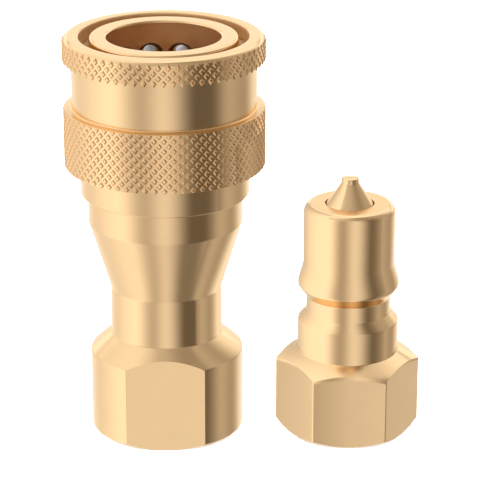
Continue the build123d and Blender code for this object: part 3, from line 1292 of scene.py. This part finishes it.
@dataclass
class Studio:
    """The floor, the light and the camera."""

    lens: float = 180.0
    distance: float = 361.6
    pitch: float = 20.28
    target: tuple[float, float, float] = (11.15, 0.0, 30.2)
    floor_drop: float = 0.02
    floor_size: float = 6.0
    card_height: float = 360.0
    full: float = 1.5
    warm_below: float = 0.8
    warmth: float = 0.18
    blue_loss: float = 1.4
    top_rise: tuple[float, float] = (0.15, 0.45)
    back_rise: tuple[float, float] = (0.55, 0.85)
    back_foot: float = 0.05
    drop: tuple[float, float] = (-0.55, -0.8)
    drop_share: float = 0.2
    drop_colour: tuple[float, float, float] = (0.43, 0.42, 0.41)
    plain_strength: float = 6.0

    def camera(self) -> None:
        """Sets the camera at the photograph's angle."""
        tilt = math.radians(self.pitch)
        place = (
            self.target[0] * MM,
            (self.target[1] - self.distance * math.cos(tilt)) * MM,
            (self.target[2] + self.distance * math.sin(tilt)) * MM,
        )
        deselect_all()
        bpy.ops.object.camera_add(location=place, rotation=(math.pi / 2.0 - tilt, 0.0, 0.0))
        made = bpy.context.object
        made.data.lens = self.lens
        made.data.sensor_width = 36.0
        made.data.clip_start = 0.01
        made.data.clip_end = 20.0
        bpy.context.scene.camera = made

    def floor(self) -> None:
        """Lays the pale floor, which is clear from below, so that the undersides can be seen."""
        deselect_all()
        place = (PLUG_AXIS / 2.0 * MM, 0.0, -self.floor_drop * MM)
        bpy.ops.mesh.primitive_plane_add(size=self.floor_size, location=place)
        floor = bpy.context.object
        floor.name = "floor"
        material = bpy.data.materials.new("floor_paper")
        material.use_nodes = True
        tree = material.node_tree
        shader = tree.nodes["Principled BSDF"]
        shader.inputs["Base Color"].default_value = (0.93, 0.93, 0.93, 1.0)
        shader.inputs["Roughness"].default_value = 0.9
        shader.inputs["Specular IOR Level"].default_value = 0.1
        facing = tree.nodes.new("ShaderNodeNewGeometry")
        clear = tree.nodes.new("ShaderNodeBsdfTransparent")
        side = mix_shaders(tree, facing.outputs["Backfacing"], shader, clear)
        tree.links.new(side, tree.nodes["Material Output"].inputs["Surface"])
        dress(floor, material)
        floor.visible_glossy = False

    def ramp(
        self, tree: NodeTree, turn: NodeSocket, ring: Ring
    ) -> NodeSocket:
        """A ring of light as a colour ramp, whose dim parts are a little warmer.

        Args:
            tree: the tree it stands in.
            turn: the direction, 0 to 1 once round.
            ring: the light.

        Returns:
            The light's colour, as a share of the full brightness.
        """
        node = tree.nodes.new("ShaderNodeValToRGB")
        node.color_ramp.interpolation = ring.passage.value
        elements = node.color_ramp.elements
        while len(elements) < len(ring.stops):
            elements.new(0.5)
        for element, (angle, _) in zip(elements, ring.stops):
            element.position = angle / 360.0 + 0.5
        for element, (_, light) in zip(elements, ring.stops):
            warm = max(0.0, self.warm_below - light) * self.warmth
            colour = (light * (1.0 + warm), light, light * (1.0 - self.blue_loss * warm))
            element.color = (*(part / self.full for part in colour), 1.0)
        tree.links.new(turn, node.inputs[0])
        return node.outputs["Color"]

    def shell(self, shell: Shell) -> None:
        """Stands a glowing round card about one half, so that it doesn't mirror the other half.

        Only mirrored rays see the card, and only from the side of its axis.

        Args:
            shell: the card's place, size and light.
        """
        deselect_all()
        bpy.ops.mesh.primitive_cylinder_add(
            vertices=96,
            radius=shell.radius * MM,
            depth=self.card_height * MM,
            end_fill_type="NOTHING",
            location=(shell.axis * MM, 0.0, 0.0),
        )
        card = settle(shell.name)
        material = bpy.data.materials.new(shell.name)
        material.use_nodes = True
        tree = material.node_tree
        tree.nodes.clear()
        parts = place_parts(tree, "Object")
        beside = math_node(tree, "SUBTRACT", parts["X"], shell.axis * MM)
        around = direction(tree, beside, parts["Y"])
        tint = None
        cover = None
        for zone in shell.zones:
            light = self.ramp(tree, around, zone.light)
            inside = math_node(tree, "GREATER_THAN", parts["Z"], zone.low * MM)
            for operation, value, limit in (
                ("LESS_THAN", parts["Z"], zone.high * MM),
                ("GREATER_THAN", around, zone.start / 360.0 + 0.5),
                ("LESS_THAN", around, zone.stop / 360.0 + 0.5),
            ):
                test = math_node(tree, operation, value, limit)
                inside = math_node(tree, "MULTIPLY", inside, test)
            tint = light if tint is None else mix_colours(tree, inside, tint, light)
            cover = inside if cover is None else math_node(tree, "MAXIMUM", cover, inside)
        glow = tree.nodes.new("ShaderNodeEmission")
        glow.inputs["Strength"].default_value = self.full
        tree.links.new(tint, glow.inputs["Color"])
        clear = tree.nodes.new("ShaderNodeBsdfTransparent")
        facing = tree.nodes.new("ShaderNodeNewGeometry")
        seen = math_node(tree, "MULTIPLY", cover, facing.outputs["Backfacing"])
        out = tree.nodes.new("ShaderNodeOutputMaterial")
        tree.links.new(mix_shaders(tree, seen, clear, glow), out.inputs["Surface"])
        dress(card, material)
        card.visible_camera = False
        card.visible_diffuse = False
        card.visible_transmission = False
        card.visible_shadow = False

    def light(self) -> None:
        """Hangs the light: a white tent with dark panels that the brass mirrors."""
        world = bpy.data.worlds.new("tent")
        bpy.context.scene.world = world
        world.use_nodes = True
        world.cycles.sampling_method = "NONE"
        tree = world.node_tree
        tree.nodes.clear()
        parts = place_parts(tree, "Generated")
        turn = direction(tree, parts["X"], parts["Y"])
        low = self.ramp(tree, turn, TENT)
        high = self.ramp(tree, turn, TENT_TOP)
        tone = mix_colours(tree, soft_step(tree, parts["Z"], *self.top_rise), low, high)
        lift = math_node(tree, "ADD", math_node(tree, "MULTIPLY", parts["Z"], 0.5), 0.5)
        back = self.ramp(tree, lift, TENT_BACK)
        lifted = math_node(tree, "GREATER_THAN", parts["Z"], self.back_foot)
        share = math_node(tree, "MULTIPLY", soft_step(tree, parts["Y"], *self.back_rise), lifted)
        tone = mix_colours(tree, share, tone, back)
        below = soft_step(tree, parts["Z"], *self.drop, self.drop_share)
        tone = mix_colours(tree, below, tone, (*self.drop_colour, 1.0))
        mirrored = tree.nodes.new("ShaderNodeBackground")
        mirrored.inputs["Strength"].default_value = self.full
        tree.links.new(tone, mirrored.inputs["Color"])
        plain = tree.nodes.new("ShaderNodeBackground")
        plain.inputs["Color"].default_value = (1.0, 1.0, 1.0, 1.0)
        plain.inputs["Strength"].default_value = self.plain_strength
        path = tree.nodes.new("ShaderNodeLightPath")
        choice = mix_shaders(tree, path.outputs["Is Glossy Ray"], plain, mirrored)
        out = tree.nodes.new("ShaderNodeOutputWorld")
        tree.links.new(choice, out.inputs["Surface"])

    def build(self) -> None:
        """Sets up the whole studio."""
        self.camera()
        self.floor()
        for shell in SHELLS:
            self.shell(shell)
        self.light()
        bpy.context.scene.view_settings.view_transform = "Standard"


def main() -> None:
    """Builds the pieces in order, dresses them and sets up the studio."""
    logging.basicConfig(level=logging.INFO, format="%(name)s: %(message)s")
    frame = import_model()
    shop = FinishShop()
    materials = {name: shop.make(name, finish) for name, finish in FINISHES.items()}
    for part in frame["record"]["subparts"]:
        finish = SLOT_FINISHES[part["material_slot"]]
        if part["node"].startswith("plug_") and finish == "socket_brass":
            finish = "plug_brass"
        dress(frame["nodes"][part["node"]], materials[finish])
    jobs = (
        (SocketAdapter(), "root", "socket_brass", Slot.BRASS),
        (SocketBody(), "root", "socket_brass", Slot.BRASS),
        (Sleeve(), "sleeve", "sleeve_brass", Slot.KNURL),
        (PlugBody(), "root", "plug_brass", Slot.BRASS),
        (Poppet("socket_poppet", SOCKET_AXIS, 41.0), "socket_valve", "socket_brass", Slot.BRASS),
        (Poppet("plug_poppet", PLUG_AXIS, 36.2), "plug_valve", "plug_brass", Slot.BRASS),
    )
    for job, body, finish, slot in jobs:
        piece = job.build()
        dress(piece, materials[finish])
        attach(piece, body)
        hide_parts(job.node)
        for node, touch, faces in TOUCHES:
            if node == job.node:
                second_finish(piece, materials[touch], faces.hold)
        LOG.info("%s: %d faces", piece.name, len(piece.data.polygons))
    valve_spring = CoilSpring(
        node="socket_valve_spring",
        axis=SOCKET_AXIS,
        bottom=24.0,
        length=13.8,
        radius=3.1,
        wire=0.35,
        turns=7,
        joint="socket_valve_push",
        travel=4.1,
    )
    springs = (
        CoilSpring(
            node="sleeve_spring",
            axis=SOCKET_AXIS,
            bottom=41.5,
            length=10.2,
            radius=10.96,
            wire=0.45,
            turns=5,
            joint="sleeve_pull",
            travel=4.0,
        ),
        valve_spring,
        replace(
            valve_spring,
            node="plug_valve_spring",
            axis=PLUG_AXIS,
            bottom=19.2,
            joint="plug_valve_push",
        ),
    )
    for spring in springs:
        piece = spring.build()
        dress(piece, materials["spring_steel"])
        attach(piece, "root")
        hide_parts(spring.node)
        spring.press(piece)
    Studio().build()


if __name__ == "__main__":
    main()
